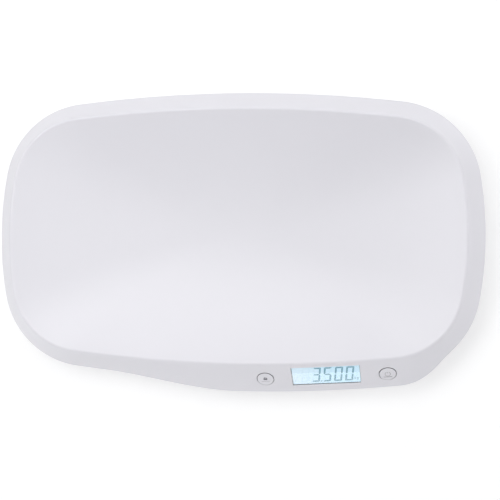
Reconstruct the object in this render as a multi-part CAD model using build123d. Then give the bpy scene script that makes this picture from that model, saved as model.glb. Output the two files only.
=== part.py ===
"""Digital baby weighing scale: a dished tray on a shallow base with four load-cell feet.

Millimetres, +Z up. The origin lies on the ground, under the middle of the whole scale.
X runs along the tray, and the control panel faces -Y, right of the middle.
"""
from build123d import *
import os
from math import asin, atan2, cos, degrees, hypot, radians, sin, sqrt, tan

os.makedirs("parts", exist_ok=True)

# ---------------------------------------------------------------- driving dimensions
# tray, rim and skirt
crest_length = 512.0          # rim crest, end to end
crest_width = 283.0           # rim crest, back to front
rim_height = 62.0             # crest above the ground
long_side_radius = 1515.0     # bow of the crest's two long sides
end_radius = 377.0            # bow of the crest's two ends
corner_radius = 79.0
skirt_width = 19.5            # the skirt slopes outwards by this much in plan
skirt_drop = 27.0             # crest down to the parting line
rim_land = 1.6                # narrow land along the top of the crest
dish_depth = 32.0
dish_end_power = 3.0          # the higher, the later the dish rises towards its ends
wall = 2.8
skirt_wall = 3.6              # skirt wall, measured level
rib_wall = 2.0
rib_depth = 6.0               # ribs under the dish
rib_rows = [-30, 30]
rib_columns = [-170, -105, -10, 75, 150]
rib_length = 400.0
rib_width = 220.0

# control panel: the front skirt slopes out further here
panel_reach = 13.3            # beyond the skirt, in plan
panel_ramp_start = -150.0     # x on the crest where the panel starts to grow out
panel_ramp_end = 6.0          # x on the crest where it has grown out
panel_merge_angle = 45.0      # where it dies into the front right corner
panel_x = 104.0               # middle of the display
panel_drop = 19.0             # middle of the display, down the slope from the crest

# base shell
parting_band = 4.0            # upright band under the parting line
parting_reveal = 0.6          # the band stands back from the skirt by this much
parting_rail = 5.4            # thickness of the band, which carries the locating lip
lip_height = 3.0
lip_wall = 1.5
lip_clearance = 0.3
lip_panel_gap = 2.0           # the lip stops this far from the panel's inner parts
base_height = 9.0             # flat underside above the ground
base_end_inset = 56.0         # the flat underside lies inside the crest by this much at each end
base_side_inset = 33.5        # and at each side
base_corner_radius = 62.0
belly_inset = 24.0            # how far the underside has curved in at half its height
belly_height = 18.0           # height of that half-way line above the ground
belly_inner_inset = 1.0       # the inside of the underside, drawn in by this much

# shell screws
boss_end_inset = 14.0         # end bosses, in from the ends of the flat underside
boss_end_y = 48.0
boss_side_inset = 12.0        # side bosses, in from its sides
boss_from_foot = 35.0         # outer side bosses, inwards from the feet
boss_diameter = 9.0
boss_meeting_height = 24.0    # where the two shells' bosses meet
screw_diameter = 3.0
screw_hole_clearance = 0.4
screw_head_diameter = 6.0
screw_head_height = 2.2
screw_cross = (3.6, 0.8, 2.0) # cross recess in a screw head
screw_seat = 5.0              # plastic between the screw head and the upper boss
screw_bite = 9.0              # depth of the screw in the upper boss
screw_fit = 0.1               # a tapped hole, wider than its screw by this much
screw_tip_room = 0.5          # a blind hole, deeper than its screw by this much

# feet and load cells
foot_end_inset = 50.0         # each foot's middle, in from the end of the flat underside
foot_side_inset = 36.0        # and in from its side
foot_diameter = 36.0
foot_clearance = 0.5          # around the foot cup
foot_pad_diameter = 32.0
foot_pad_height = 3.2
foot_pad_recess = 1.2         # how deep the pad sits in its cup
foot_cup_top = 10.6
foot_hub_diameter = 9.0
cell_seat_height = 13.4
cell_size = 40.0
cell_thickness = 3.0
cell_corner = 6.0
cell_slot = 1.2               # slot around the tongue
tongue_width = 16.0
tongue_length = 26.0
cell_pocket_wall = 1.6
cell_pocket_clearance = 0.25
foot_screw_diameter = 3.0
foot_screw_low = 6.0          # tip of the foot screw above the ground
foot_screw_head = 2.0
foot_pad_gap = 0.1
foot_pad_bevel = 0.8

# battery bay
bay_x = -60.0                 # middle of the bay
bay_side_inset = 44.0         # middle of the bay, in from the side of the flat underside
bay_length = 52.0             # inside, along the cells
bay_wall = 1.8
cell_diameter = 10.5          # AAA cells
battery_length = 44.5
battery_nub_length = 1.0
battery_nub_diameter = 3.8
battery_count = 4
battery_pitch = 11.2
battery_lift = 0.35           # air under and over the cells
contact_thickness = 0.4
spring_wire = 0.8
spring_turns = 4
door_thickness = 2.4
door_clearance = 0.2
door_overlap = 4.0            # the door covers this much more than the bay, each side
door_grip = 8.0               # the door's finger grip behind the bay
door_tongue = 1.6             # side tongues in their grooves
door_tongue_thickness = 1.2
bay_pad_height = 5.0          # thickened floor around the bay
bay_pad_border = 4.0
bay_pad_rear = 14.0           # it ends this far behind the flat underside
grip_grooves = 4              # finger grooves across the door's end
grip_pitch = 2.4
grip_width = 0.9
grip_length = 26.0
grip_groove_depth = 0.6
contact_size = 9.0
spring_radius = 3.2

# control panel's parts, stacked along the panel's normal; depths are below its face
window_width = 75.4
window_height = 27.0
window_sink = 0.9
window_gap = 0.2
window_face = 1.0             # thickness of the window in front of the display
window_rim = 1.0              # its rim around the display
window_flange = 2.0
window_flange_thickness = 1.2
panel_pad_depth = 3.8         # flat inner face of the panel
panel_pad_length = 166.0
panel_pad_height = 32.0
gasket_thickness = 0.8
gasket_border = 1.5
display_gap = 0.2             # around the display in the window's pocket
display_thickness = 2.2
backlight_thickness = 3.0
backlight_margin = 4.0        # room for the contact strip under the backlight
holder_wall = 1.8
board_depth = 11.6            # front face of the circuit board
board_length = 162.0
board_height = 30.0
board_thickness = 1.6
board_post_x = 49.5
board_post_y = 11.0
board_post_diameter = 5.6
board_screw_diameter = 2.2
board_screw_bite = 5.0
board_head = 1.4
contact_strip_length = 68.0   # elastomer strip from the display to the board
contact_strip_width = 2.0
buzzer_diameter = 12.0
buzzer_height = 5.0
buzzer_hole = 2.0
buzzer_wall = 1.0
buzzer_x = 68.0
buzzer_y = 4.0
# chips on the board's back: length, height, thickness, x, y
chip_list = [
    (12, 12, 1.6, 0, 5),
    (10, 6, 1.4, -24, 6),
    (6, 5, 1.4, 22, 7),
    (4, 9, 3.0, -70, 3),
    (5, 3, 1.0, 34, 6),
]
button_offset = 67.3          # each button from the display's middle
button_lower = 2.0            # buttons sit this much lower on the slope
button_diameter = 18.0
button_gap = 0.6
button_travel = 0.6
button_flange = 1.6
button_flange_thickness = 1.2
button_flange_gap = 0.1
button_stem_diameter = 5.0
switch_size = 6.0
switch_height = 3.4
plunger_diameter = 3.4
plunger_gap = 0.1
plunger_rise = 1.5            # plunger above the switch body
plunger_depth = 1.0           # plunger inside the switch body
battery_connector_spot = -12
connector_size = (7, 5, 5)
connector_row = -8.0
lead_diameter = 2.0
lead_lift = 0.1               # air under a lead
lead_arc_share = 0.45
lead_straight = 6.0           # straight behind a connector
lead_low_margin = 8.0         # a lead leaves the floor this far inside the flat base
lead_bond = 2.0               # a lead starts this far inside its load cell's edge
lead_over_wall = 8.0          # and stays level until this far outside it
# each load cell's connector on the board, and its lead's way along the floor: first points
# counted inwards from the cell's edge and from the foot's middle, then points on the floor
cell_leads = {
    "left_front": (-58, [(26, 0)], [(-58, -80), (0, -76), (30, -80)]),
    "left_back": (-36, [(26, -12), (32, -50)], [(-50, -20), (10, -44), (52, -66)]),
    "right_back": (12, [(22, -10), (32, -44)], [(100, -16), (110, -58)]),
    "right_front": (36, [(9, -14), (6, -29)], []),
}
battery_lead_way = [(-14, 40), (4, 6), (36, -24), (78, -56)]
battery_lead_level = 6.0      # level stretch out of the bay's wall

# ---------------------------------------------------------------- shared values
half_length = crest_length / 2
half_width = crest_width / 2
parting_height = rim_height - skirt_drop
floor_height = base_height + wall
middle_y = panel_reach / 2     # the tray's middle stands this far behind the origin
base_length = crest_length - 2 * base_end_inset
base_width = crest_width - 2 * base_side_inset
foot_x = base_length / 2 - foot_end_inset
foot_y = base_width / 2 - foot_side_inset
bay_y = base_width / 2 - bay_side_inset
boss_end_x = base_length / 2 - boss_end_inset
boss_side_x = foot_x - boss_from_foot
boss_side_y = base_width / 2 - boss_side_inset
boss_spots = [(x, y) for x in (-boss_end_x, boss_end_x) for y in (-boss_end_y, boss_end_y)]
boss_spots += [(x, -boss_side_y) for x in (-boss_side_x, 0, panel_x)]
boss_spots += [(x, boss_side_y) for x in (-boss_side_x, 0, boss_side_x)]
past = 1.0                     # a cut reaches this far past the face that it leaves


def save(name, shape):
    """Place a finished piece in the part's frame and write it."""
    placed = Pos(0, middle_y, 0) * shape
    placed.label = name
    export_step(placed, f"parts/{name}.step")


def group(shapes):
    """Separate solids that share one node."""
    return Compound([solid for shape in shapes for solid in shape.solids()])


def block(x_span, y_span, z_span):
    """A box between two x, two y and two z."""
    spans = (x_span, y_span, z_span)
    sizes = [high - low for low, high in spans]
    middles = [(high + low) / 2 for low, high in spans]
    return Pos(*middles) * Box(*sizes)


def post(x, y, low, high, diameter):
    """An upright cylinder between two heights."""
    return Pos(x, y, (low + high) / 2) * Cylinder(diameter / 2, high - low)


def mirrored_pair(value):
    return (-value, value)


# ---------------------------------------------------------------- outlines
def corner_centre(length, width, side_r, end_r, corner_r):
    """Centre of the arc that is tangent to a long side and to an end."""
    side_y = width - side_r
    end_x = length - end_r
    apart = hypot(end_x, side_y)
    reach_side = side_r - corner_r
    reach_end = end_r - corner_r
    along = (apart**2 + reach_side**2 - reach_end**2) / (2 * apart)
    across = sqrt(reach_side**2 - along**2)
    x = (end_x * along - side_y * across) / apart
    y = side_y + (-side_y * along - end_x * across) / apart
    return x, y


def polar(centre, radius, angle):
    return (centre[0] + radius * cos(radians(angle)), centre[1] + radius * sin(radians(angle)))


def outline(height, length, width, side_r, end_r, corner_r, reach=None):
    """A rounded rectangle with bowed sides, made of tangent arcs, at a height.

    length and width are half sizes. With a reach, the front side steps out by that much
    between the panel's ramp and the front right corner.
    """
    cx, cy = corner_centre(length, width, side_r, end_r, corner_r)
    end_angle = degrees(atan2(cy, cx - (length - end_r)))
    side_angle = degrees(atan2(cy - (width - side_r), cx))
    back = (0, width - side_r)
    front = (0, side_r - width)
    right = (length - end_r, 0)
    left = (end_r - length, 0)
    edges = [
        CenterArc(right, end_r, -end_angle, 2 * end_angle),
        CenterArc((cx, cy), corner_r, end_angle, side_angle - end_angle),
        CenterArc(back, side_r, side_angle, 180 - 2 * side_angle),
        CenterArc((-cx, cy), corner_r, 180 - side_angle, side_angle - end_angle),
        CenterArc(left, end_r, 180 - end_angle, 2 * end_angle),
        CenterArc((-cx, -cy), corner_r, 180 + end_angle, side_angle - end_angle),
    ]
    if reach is None:
        edges += [
            CenterArc(front, side_r, 180 + side_angle, 180 - 2 * side_angle),
            CenterArc((cx, -cy), corner_r, 360 - side_angle, side_angle - end_angle),
        ]
    else:
        spread = 90 - side_angle
        ramp_start = 270 + spread * ramp_start_share
        ramp_end = 270 + spread * ramp_end_share
        panel_end = 360 - side_angle
        merge = 360 - panel_merge_angle
        edges += [
            CenterArc(front, side_r, 180 + side_angle, ramp_start - 180 - side_angle),
            Spline(
                polar(front, side_r, ramp_start),
                polar(front, side_r + reach, ramp_end),
                tangents=[polar((0, 0), 1, ramp_start + 90), polar((0, 0), 1, ramp_end + 90)],
            ),
            CenterArc(front, side_r + reach, ramp_end, panel_end - ramp_end),
            Spline(
                polar(front, side_r + reach, panel_end),
                polar((cx, -cy), corner_r, merge),
                tangents=[polar((0, 0), 1, panel_end + 90), polar((0, 0), 1, merge + 90)],
            ),
            CenterArc((cx, -cy), corner_r, merge, 360 - end_angle - merge),
        ]
    return Pos(0, 0, height) * Wire(edges)


crest_corner = corner_centre(half_length, half_width, long_side_radius, end_radius, corner_radius)
crest_spread = 90 - degrees(atan2(crest_corner[1] - (half_width - long_side_radius), crest_corner[0]))
ramp_start_share = degrees(asin(panel_ramp_start / long_side_radius)) / crest_spread
ramp_end_share = degrees(asin(panel_ramp_end / long_side_radius)) / crest_spread


def skirt_outline(height, inset=0.0):
    """The skirt's outline at a height, moved inwards by an inset."""
    share = (rim_height - height) / skirt_drop
    grow = skirt_width * share - inset
    return outline(height, half_length + grow, half_width + grow, long_side_radius + grow,
                   end_radius + grow, corner_radius + grow, panel_reach * share)


def dish_outline(level, drop=0.0, inset=0.0):
    """A level line of the dish: level 0 lies at the rim and 1 at the lowest point."""
    along = (1 - level) ** (1 / dish_end_power)
    across = sqrt(1 - level)
    return outline(rim_height - dish_depth * level - drop,
                   (half_length - inset) * along,
                   (half_width - inset) * across,
                   (long_side_radius - inset) * along**2 / across,
                   (end_radius - inset) * across**2 / along,
                   (corner_radius - inset) * sqrt(along * across))


def belly_outline(height, share, inset=0.0):
    """An outline of the underside: share 0 is the band, 1 the half-way line, 2 the flat base."""
    if share == 2:
        grow = -inset
        return outline(height, base_length / 2 + grow, base_width / 2 + grow, long_side_radius + grow,
                       end_radius + grow, base_corner_radius + grow, 0.0)
    grow = skirt_width - parting_reveal - belly_inset * share - inset
    return outline(height, half_length + grow, half_width + grow, long_side_radius + grow,
                   end_radius + grow, corner_radius + grow, panel_reach * (1 - share / 2))


# ---------------------------------------------------------------- large bodies
def loft_of(wires, ruled=False):
    return Solid.make_loft(wires, ruled)


def skirt_loft(inset):
    return loft_of([skirt_outline(parting_height, inset), skirt_outline(rim_height, inset)], True)


dish_levels = [0.0, 0.15, 0.32, 0.5, 0.68, 0.84, 0.94, 0.99]
skirt_body = skirt_loft(0.0)
skirt_hollow = skirt_loft(skirt_wall)
dish_body = loft_of([dish_outline(level, inset=rim_land) for level in dish_levels])
dish_skin = loft_of([dish_outline(level, drop=wall) for level in dish_levels])


# ---------------------------------------------------------------- control panel's frame
slope_length = hypot(skirt_width + panel_reach, skirt_drop)
level_share = (skirt_width + panel_reach) / slope_length
fall_share = skirt_drop / slope_length


def panel_plane(x, drop):
    """A plane on the panel's face, with z outwards and y up the slope."""
    radius = long_side_radius + drop * level_share
    turn = asin(x / radius)
    origin = (x, long_side_radius - half_width - radius * cos(turn), rim_height - drop * fall_share)
    normal = (fall_share * sin(turn), -fall_share * cos(turn), level_share)
    return Plane(origin, x_dir=(cos(turn), sin(turn), 0), z_dir=normal)


panel = panel_plane(panel_x, panel_drop)


def panel_block(length, height, front, back, x=0.0, y=0.0):
    """A block behind the panel's face, between two depths."""
    return panel * Pos(x, y, -(front + back) / 2) * Box(length, height, back - front)


def panel_disc(diameter, front, back, x=0.0, y=0.0):
    """A disc behind the panel's face, between two depths."""
    return panel * Pos(x, y, -(front + back) / 2) * Cylinder(diameter / 2, back - front)


# ---------------------------------------------------------------- upper shell
outside = 10.0                 # cuts into the curved outside start this far in front of it
button_hole = button_diameter + 2 * button_gap
screw_hole = screw_diameter + screw_fit
board_posts = [(x, y) for x in mirrored_pair(board_post_x) for y in mirrored_pair(board_post_y)]


def tray_ribs():
    """Ribs under the dish, which follow its underside."""
    plates = [block(mirrored_pair(rib_length / 2), (y - rib_wall / 2, y + rib_wall / 2), (0, rim_height))
              for y in rib_rows]
    plates += [block((x - rib_wall / 2, x + rib_wall / 2), mirrored_pair(rib_width / 2), (0, rim_height))
               for x in rib_columns]
    zone = Pos(0, 0, -rib_depth) * dish_skin
    return [plate & zone for plate in plates]


def upper_shell():
    shell = skirt_body - skirt_hollow + dish_skin
    shell += panel_block(panel_pad_length, panel_pad_height, -outside, panel_pad_depth) & skirt_body
    for x, y in board_posts:
        shell += panel_disc(board_post_diameter, panel_pad_depth, board_depth, x, y)
    for x, y in boss_spots:
        shell += post(x, y, boss_meeting_height, rim_height, boss_diameter)
    for rib in tray_ribs():
        shell += rib
    shell -= dish_body
    for x, y in boss_spots:
        shell -= post(x, y, boss_meeting_height - past, boss_meeting_height + screw_bite + past, screw_hole)
    shell -= panel_block(window_width, window_height, -outside, panel_pad_depth + past)
    for x in mirrored_pair(button_offset):
        shell -= panel_disc(button_hole, -outside, panel_pad_depth + past, x, -button_lower)
    hole_end = board_depth - board_screw_bite - screw_tip_room
    for x, y in board_posts:
        shell -= panel_disc(board_screw_diameter + screw_fit, hole_end, board_depth + past, x, y)
    return shell


# ---------------------------------------------------------------- lower shell
bay_width = battery_count * battery_pitch + 2 * battery_lift
bay_x_span = (bay_x - bay_length / 2, bay_x + bay_length / 2)
bay_y_span = (bay_y - bay_width / 2, bay_y + bay_width / 2)
door_top = base_height + door_thickness
battery_axis = door_top + battery_lift + cell_diameter / 2
bay_roof = battery_axis + cell_diameter / 2 + battery_lift
door_x_span = (bay_x_span[0] - door_overlap, bay_x_span[1] + door_overlap)
door_y_span = (bay_y_span[0] - door_overlap, bay_y_span[1] + door_grip)
foot_spots = [(x, y) for x in mirrored_pair(foot_x) for y in mirrored_pair(foot_y)]
pocket_size = cell_size + 2 * cell_pocket_clearance
pocket_outside = pocket_size + 2 * cell_pocket_wall


def widen(span, amount):
    return (span[0] - amount, span[1] + amount)


def belly(inset_top, inset_middle, inset_base, rise):
    """The closed form of the underside, from the parting line down to the flat base."""
    band_low = parting_height - parting_band
    band = loft_of([belly_outline(height, 0, inset_top) for height in (parting_height, band_low)], True)
    bowl = loft_of([
        belly_outline(band_low, 0, inset_top),
        belly_outline(belly_height + rise, 1, inset_middle),
        belly_outline(base_height + rise, 2, inset_base),
    ])
    return band + bowl


def locating_lip():
    """Lip on the band that stands inside the skirt, left out behind the panel."""
    top = parting_height + lip_height
    outer = skirt_wall + lip_clearance
    lip = loft_of([skirt_outline(parting_height, outer), skirt_outline(top, outer)], True)
    inner = outer + lip_wall
    lip -= loft_of([skirt_outline(parting_height, inner), skirt_outline(top, inner)], True)
    length = panel_pad_length + 2 * lip_panel_gap
    return lip - panel_block(length, 2 * slope_length, -outside, 2 * board_depth)


def battery_bay(envelope):
    """Thickened floor and box of the battery bay, before its inside is cut."""
    pad_y = (door_y_span[0] - bay_pad_border, base_width / 2 + bay_pad_rear)
    pad = block(widen(door_x_span, door_tongue + bay_pad_border), pad_y,
                (base_height, base_height + bay_pad_height))
    box = block(widen(bay_x_span, bay_wall), widen(bay_y_span, bay_wall),
                (base_height, bay_roof + bay_wall))
    return (pad & envelope) + box


def cut_battery_bay(shell):
    """Bay, door recess open to the back, and the grooves for the door's tongues."""
    shell -= block(bay_x_span, bay_y_span, (0, bay_roof))
    rear = base_width
    recess_y = (door_y_span[0] - door_clearance, rear)
    shell -= block(widen(door_x_span, door_clearance), recess_y, (0, door_top + door_clearance))
    tongue_low = door_top - door_tongue_thickness
    return shell - block(widen(door_x_span, door_tongue + door_clearance), recess_y,
                         (tongue_low - door_clearance, door_top + door_clearance))


def lower_shell():
    envelope = belly(0.0, 0.0, 0.0, 0.0)
    hollow = belly(parting_rail, belly_inner_inset, belly_inner_inset, wall)
    shell = envelope - hollow + locating_lip()
    for x, y in boss_spots:
        shell += post(x, y, base_height, boss_meeting_height, boss_diameter)
    cell_top = cell_seat_height + cell_thickness
    for x, y in foot_spots:
        seat = block(widen((x, x), pocket_outside / 2), widen((y, y), pocket_outside / 2),
                     (base_height, cell_top))
        shell += seat - block(widen((x, x), pocket_size / 2), widen((y, y), pocket_size / 2),
                              (cell_seat_height, rim_height))
    shell += battery_bay(envelope)
    head_hole = screw_head_diameter + 2 * screw_hole_clearance
    for x, y in boss_spots:
        shell -= post(x, y, 0, boss_meeting_height - screw_seat, head_hole)
        shell -= post(x, y, 0, boss_meeting_height + past, screw_diameter + screw_hole_clearance)
    for x, y in foot_spots:
        shell -= post(x, y, 0, cell_seat_height + past, foot_diameter + 2 * foot_clearance)
    return cut_battery_bay(shell)


def shell_screws():
    seat = boss_meeting_height - screw_seat
    screws = []
    for x, y in boss_spots:
        screw = post(x, y, seat - screw_head_height, seat, screw_head_diameter)
        screw += post(x, y, seat, boss_meeting_height + screw_bite, screw_diameter)
        for turn in (0, 90):
            screw -= Pos(x, y, seat - screw_head_height) * Rot(0, 0, turn) * Box(*screw_cross)
        screws.append(screw)
    return group(screws)


# ---------------------------------------------------------------- battery door, cells and contacts
def battery_door():
    door = block(door_x_span, door_y_span, (base_height, door_top))
    door += block(widen(door_x_span, door_tongue), door_y_span,
                  (door_top - door_tongue_thickness, door_top))
    for row in range(grip_grooves):
        y = door_y_span[1] - grip_pitch * (row + 1)
        door -= block(widen((bay_x, bay_x), grip_length / 2), widen((y, y), grip_width / 2),
                      (base_height - past, base_height + grip_groove_depth))
    return door


def battery_rows():
    """Middle y of each cell, and the way that its positive end points along x."""
    first = bay_y - (battery_count - 1) / 2 * battery_pitch
    return [(first + battery_pitch * row, 1 if row % 2 == 0 else -1) for row in range(battery_count)]


def battery(y, way):
    """One AAA cell, with its positive nub on the contact plate."""
    tip = bay_x + way * (bay_length / 2 - contact_thickness)
    body_length = battery_length - battery_nub_length
    body = Rot(0, 90, 0) * Cylinder(cell_diameter / 2, body_length)
    nub = Rot(0, 90, 0) * Cylinder(battery_nub_diameter / 2, battery_nub_length)
    body_x = tip - way * (battery_nub_length + body_length / 2)
    nub_x = tip - way * battery_nub_length / 2
    return Pos(body_x, y, battery_axis) * body + Pos(nub_x, y, battery_axis) * nub


def contact_plates():
    half = contact_size / 2
    plates = []
    for y, way in battery_rows():
        for x, inward in ((bay_x_span[0], contact_thickness), (bay_x_span[1], -contact_thickness)):
            x_span = sorted((x, x + inward))
            plates.append(block(x_span, widen((y, y), half), widen((battery_axis, battery_axis), half)))
    return group(plates)


def contact_springs():
    """One spring behind the negative end of each cell."""
    room = bay_length - 2 * contact_thickness - battery_length
    rise = room - spring_wire
    helix = Helix(rise / spring_turns, rise, spring_radius)
    coil = sweep(Plane(helix @ 0, z_dir=helix % 0) * Circle(spring_wire / 2), path=helix)
    springs = []
    for y, way in battery_rows():
        plate = bay_x - way * (bay_length / 2 - contact_thickness)
        springs.append(Pos(plate + way * spring_wire / 2, y, battery_axis) * Rot(0, 90 * way, 0) * coil)
    return group(springs)


# ---------------------------------------------------------------- feet
def load_cell(x, y):
    """Outer frame of a half-bridge load cell, which lies on its seat."""
    low = cell_seat_height
    frame = extrude(Pos(x, y, low) * RectangleRounded(cell_size, cell_size, cell_corner), cell_thickness)
    half = tongue_length / 2
    way = 1 if x < 0 else -1
    slot_x = sorted((x - way * half, x + way * (half + cell_slot)))
    return frame - block(slot_x, widen((y, y), tongue_width / 2 + cell_slot), (low - past, rim_height))


def load_tongue(x, y):
    """The cell's tongue, which the foot pushes up."""
    low = cell_seat_height
    tongue = block(widen((x, x), tongue_length / 2), widen((y, y), tongue_width / 2),
                   (low, low + cell_thickness))
    return tongue - post(x, y, 0, rim_height, foot_screw_diameter + screw_fit)


def foot_cup(x, y):
    low = foot_pad_height - foot_pad_recess
    cup = post(x, y, low, foot_cup_top, foot_diameter)
    cup += post(x, y, low, cell_seat_height, foot_hub_diameter)
    cup -= post(x, y, 0, foot_pad_height, foot_pad_diameter + 2 * foot_pad_gap)
    hole_end = foot_screw_low - screw_tip_room
    return cup - post(x, y, hole_end, rim_height, foot_screw_diameter + screw_fit)


def foot_pad(x, y):
    pad = post(x, y, 0, foot_pad_height, foot_pad_diameter)
    return chamfer(pad.faces().sort_by(Axis.Z)[0].edges(), foot_pad_bevel)


def foot_screw(x, y):
    seat = cell_seat_height + cell_thickness
    top = seat + foot_screw_head
    screw = post(x, y, foot_screw_low, seat, foot_screw_diameter)
    screw += post(x, y, seat, top, 2 * foot_screw_diameter)
    for turn in (0, 90):
        screw -= Pos(x, y, top) * Rot(0, 0, turn) * Box(*screw_cross)
    return screw


# ---------------------------------------------------------------- display
window_plug = (window_width - 2 * window_gap, window_height - 2 * window_gap)
window_pocket = [size - 2 * window_rim for size in window_plug]
flange_size = [size + 2 * window_flange for size in (window_width, window_height)]
window_back = panel_pad_depth + window_flange_thickness
gasket_back = window_back + gasket_thickness
display_width, display_height = [size - 2 * display_gap for size in window_pocket]
display_front = window_sink + window_face
backlight_front = display_front + display_thickness
backlight_back = backlight_front + backlight_thickness
contact_strip_y = -(display_height - contact_strip_width) / 2


def display_window():
    """Clear window with a flange behind the panel and a pocket for the display."""
    window = panel_block(*window_plug, window_sink, panel_pad_depth)
    window += panel_block(*flange_size, panel_pad_depth, window_back)
    return window - panel_block(*window_pocket, display_front, window_back + past)


def display_panel():
    return panel_block(display_width, display_height, display_front, backlight_front)


def display_gasket():
    frame = panel_block(*flange_size, window_back, gasket_back)
    opening = [size - 2 * gasket_border for size in flange_size]
    return frame - panel_block(*opening, window_back - past, gasket_back + past)


def display_holder():
    """Frame behind the gasket, around the backlight and the contact strip, down to the board."""
    inside = (display_width + 2 * display_gap, display_height + 2 * display_gap)
    around = [max(size + 2 * holder_wall, flange) for size, flange in zip(inside, flange_size)]
    holder = panel_block(*around, gasket_back, board_depth)
    holder -= panel_block(*inside, gasket_back - past, backlight_back)
    strip_slot = (contact_strip_length + 2 * display_gap, contact_strip_width + 2 * display_gap)
    return holder - panel_block(*strip_slot, gasket_back, board_depth + past, y=contact_strip_y)


def backlight():
    """Light guide behind the display, above the contact strip."""
    height = display_height - backlight_margin
    return panel_block(display_width, height, backlight_front, backlight_back, y=backlight_margin / 2)


def contact_strip():
    return panel_block(contact_strip_length, contact_strip_width, backlight_front, board_depth,
                       y=contact_strip_y)


# ---------------------------------------------------------------- circuit board
board_back = board_depth + board_thickness


def main_board():
    board = panel_block(board_length, board_height, board_depth, board_back)
    hole = board_screw_diameter + screw_hole_clearance
    for x, y in board_posts:
        board -= panel_disc(hole, board_depth - past, board_back + past, x, y)
    return board


def board_screws():
    screws = []
    for x, y in board_posts:
        screw = panel_disc(board_screw_diameter, board_depth - board_screw_bite, board_back, x, y)
        screw += panel_disc(2 * board_screw_diameter, board_back, board_back + board_head, x, y)
        screws.append(screw)
    return group(screws)


def board_chips():
    chips = [panel_block(length, height, board_back, board_back + thick, x, y)
             for length, height, thick, x, y in chip_list]
    return group(chips)


def board_connectors():
    length, height, depth = connector_size
    spots = [lead_facts[0] for lead_facts in cell_leads.values()] + [battery_connector_spot]
    connectors = [panel_block(length, height, board_back, board_back + depth, x, connector_row)
                  for x in spots]
    return group(connectors)


def buzzer():
    top = board_back + buzzer_height
    body = panel_disc(buzzer_diameter, board_back, top, buzzer_x, buzzer_y)
    return body - panel_disc(buzzer_hole, top - buzzer_wall, top + past, buzzer_x, buzzer_y)


# ---------------------------------------------------------------- buttons
def button(side):
    """A push button that is flush with the panel, with its flange behind the wall."""
    x = side * button_offset
    flange_front = panel_pad_depth + button_flange_gap
    flange_back = flange_front + button_flange_thickness
    cap = panel_disc(button_diameter, -outside, flange_front, x, -button_lower) & skirt_body
    cap += panel_disc(button_hole + 2 * button_flange, flange_front, flange_back, x, -button_lower)
    return cap + panel_disc(button_stem_diameter, flange_back, plunger_top, x, -button_lower)


switch_top = board_depth - switch_height
plunger_top = switch_top - plunger_rise


def tact_switch(side):
    x = side * button_offset
    body = panel_block(switch_size, switch_size, switch_top, board_depth, x, -button_lower)
    well = switch_top + plunger_depth + button_travel + plunger_gap
    return body - panel_disc(plunger_diameter + 2 * plunger_gap, switch_top - past, well, x, -button_lower)


def switch_plunger(side):
    x = side * button_offset
    return panel_disc(plunger_diameter, plunger_top, switch_top + plunger_depth, x, -button_lower)


# ---------------------------------------------------------------- leads inside the base
lead_floor = floor_height + lead_diameter / 2 + lead_lift


def lead(points):
    """A lead along straight runs joined by arcs as wide as the runs allow."""
    path_points = [Vector(point) for point in points]
    runs = [after - before for before, after in zip(path_points, path_points[1:])]
    radii = []
    for before, after in zip(runs, runs[1:]):
        turn = radians(before.get_angle(after))
        radii.append(lead_arc_share * min(before.length, after.length) / tan(turn / 2))
    path = FilletPolyline(*path_points, radius=radii)
    section = Plane(path_points[0], z_dir=runs[0]) * Circle(lead_diameter / 2)
    tube = sweep(section, path=path)
    print("lead: length", round(path.length), "smallest radius", round(min(radii), 1))
    return tube


def on_floor(way):
    return [(x, y, lead_floor) for x, y in way]


def connector_approach(spot):
    """Three last points of a lead: low behind the board, straight behind its connector, and in it."""
    mouth = board_back + connector_size[2]
    entry = (panel * Pos(spot, connector_row, -mouth)).position
    behind = (panel * Pos(spot, connector_row, -mouth - lead_straight)).position
    low = Vector(behind.X, lead_low_margin - base_width / 2, lead_floor)
    return [low, behind, entry]


def cell_lead(x, y, place):
    """A lead from a load cell's frame, over its pocket's wall and along the floor."""
    spot, first_steps, way = cell_leads[place]
    inward = 1 if x < 0 else -1
    top = cell_seat_height + cell_thickness + lead_diameter / 2 + lead_lift
    edge = x + inward * cell_size / 2
    start = [(edge - inward * lead_bond, y, top), (edge + inward * lead_over_wall, y, top)]
    first = [(edge + inward * step_in, y + step_y) for step_in, step_y in first_steps]
    return lead(start + on_floor(first + way) + connector_approach(spot))


def battery_lead():
    """The lead from the bay's wall, out at its foot and along the floor."""
    x = bay_x_span[1] + bay_wall
    y = battery_lead_way[0][1]
    height = lead_floor + bay_pad_height
    start = [(x, y, height), (x + battery_lead_level, y, height)]
    return lead(start + on_floor(battery_lead_way) + connector_approach(battery_connector_spot))


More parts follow.
